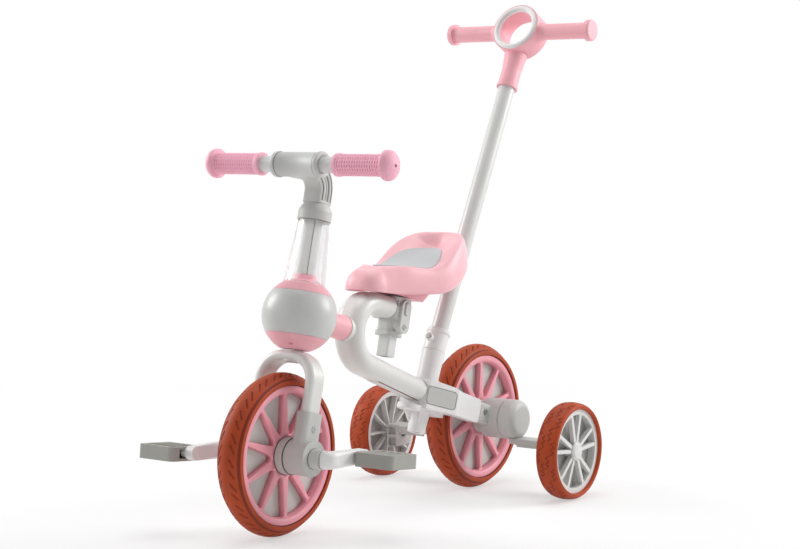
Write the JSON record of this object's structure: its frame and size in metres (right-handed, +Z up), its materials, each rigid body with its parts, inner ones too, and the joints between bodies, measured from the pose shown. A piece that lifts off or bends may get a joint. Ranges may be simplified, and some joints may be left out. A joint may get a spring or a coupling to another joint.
{
  "type": "toddler push along trike",
  "caption": "Toddler ride-on with large in-line wheels, small stabiliser wheels, pedals on the front wheel, a turning handlebar, an adjustable saddle and a lift-off push bar.",
  "frame": {"origin": "on the ground, midway along the outline, on the middle plane", "axes": "+X forward, +Y to the rider's left, +Z up"},
  "size_m": [0.7446, 0.375, 0.7434],
  "materials": {
    "frame_paint": "satin",
    "white_plastic": "satin",
    "grey_plastic": "satin",
    "pedal_plastic": "matte",
    "pink_plastic": "satin",
    "saddle_plastic": "satin",
    "pad_rubber": "matte",
    "grip_rubber": "matte",
    "tyre_rubber": "matte",
    "bar_paint": "satin",
    "clear_plastic": "clear",
    "steel": "brushed"
  },
  "bodies": {
    "frame": {"frame_tube": "frame_paint", "head_ball": "grey_plastic", "head_cap_top": "pink_plastic", "head_cap_bottom": "pink_plastic", "head_sleeve": "pink_plastic", "head_bushes": "grey_plastic", "yoke": "white_plastic", "yoke_panels": "grey_plastic", "socket_collar": "white_plastic", "rear_dropout_left": "grey_plastic", "rear_dropout_right": "grey_plastic", "rear_hub_cap_left": "grey_plastic", "rear_hub_cap_right": "grey_plastic", "rear_axle": "steel", "training_bracket_left": "grey_plastic", "training_bracket_right": "grey_plastic", "training_axles": "steel", "frame_screws": "steel", "seat_clamp": "grey_plastic"},
    "seat_button": {"seat_button": "grey_plastic"},
    "seat": {"seat_post": "frame_paint", "saddle": "saddle_plastic", "saddle_pad": "pad_rubber", "saddle_bracket": "saddle_plastic"},
    "push_bar": {"push_tube": "frame_paint", "push_handle": "pink_plastic", "push_ring_insert": "white_plastic"},
    "push_button": {"push_button": "grey_plastic"},
    "steering": {"fork": "frame_paint", "steerer": "steel", "fork_end_left": "grey_plastic", "fork_end_right": "grey_plastic", "fork_screws": "steel", "stem_tube": "grey_plastic", "light_tube": "clear_plastic", "stem_collar": "grey_plastic", "stem": "grey_plastic", "handlebar": "bar_paint", "grip_left": "grip_rubber", "grip_right": "grip_rubber"},
    "front_wheel": {"front_tyre": "tyre_rubber", "front_core": "grey_plastic", "front_spokes_left": "pink_plastic", "front_spokes_right": "pink_plastic", "crank_spindle": "steel", "crank_left": "white_plastic", "crank_right": "white_plastic"},
    "pedal_left": {"pedal_left": "pedal_plastic"},
    "pedal_right": {"pedal_right": "pedal_plastic"},
    "rear_wheel": {"rear_tyre": "tyre_rubber", "rear_core": "grey_plastic", "rear_spokes_left": "pink_plastic", "rear_spokes_right": "pink_plastic"},
    "training_wheel_left": {"training_tyre_left": "tyre_rubber", "training_rim_left": "white_plastic", "training_disc_left": "grey_plastic"},
    "training_wheel_right": {"training_tyre_right": "tyre_rubber", "training_rim_right": "white_plastic", "training_disc_right": "grey_plastic"}
  },
  "joints": [
    {"name": "steer", "type": "hinge", "parent": "frame", "child": "steering", "pos_m": [0.26232, 0, 0.11], "axis": [-0.2419, 0, 0.9703], "range_deg": [-45, 45]},
    {"name": "front_wheel_spin", "type": "hinge", "parent": "steering", "child": "front_wheel", "pos_m": [0.26232, 0, 0.11], "axis": [0, 1, 0], "continuous": true},
    {"name": "pedal_left_spin", "type": "hinge", "parent": "front_wheel", "child": "pedal_left", "pos_m": [0.19036, 0.1265, 0.10749], "axis": [0, 1, 0], "continuous": true},
    {"name": "pedal_right_spin", "type": "hinge", "parent": "front_wheel", "child": "pedal_right", "pos_m": [0.33427, -0.1265, 0.11251], "axis": [0, 1, 0], "continuous": true},
    {"name": "rear_wheel_spin", "type": "hinge", "parent": "frame", "child": "rear_wheel", "pos_m": [-0.21268, 0, 0.11], "axis": [0, 1, 0], "continuous": true},
    {"name": "training_left_spin", "type": "hinge", "parent": "frame", "child": "training_wheel_left", "pos_m": [-0.21268, 0.1705, 0.072], "axis": [0, 1, 0], "continuous": true},
    {"name": "training_right_spin", "type": "hinge", "parent": "frame", "child": "training_wheel_right", "pos_m": [-0.21268, -0.1705, 0.072], "axis": [0, 1, 0], "continuous": true},
    {"name": "seat_height", "type": "slide", "parent": "frame", "child": "seat", "axis": [-0.23, 0, 0.9732], "range_m": [0, 0.045]},
    {"name": "seat_release", "type": "slide", "parent": "frame", "child": "seat_button", "axis": [0, -1, 0], "range_m": [0, 0.003], "stiffness_N_per_m": 800},
    {"name": "push_bar_lift", "type": "slide", "parent": "frame", "child": "push_bar", "axis": [-0.4462, 0, 0.8949], "range_m": [0, 0.1]},
    {"name": "push_bar_release", "type": "slide", "parent": "frame", "child": "push_button", "axis": [-0.8949, 0, -0.4462], "range_m": [0, 0.003], "stiffness_N_per_m": 800}
  ]
}
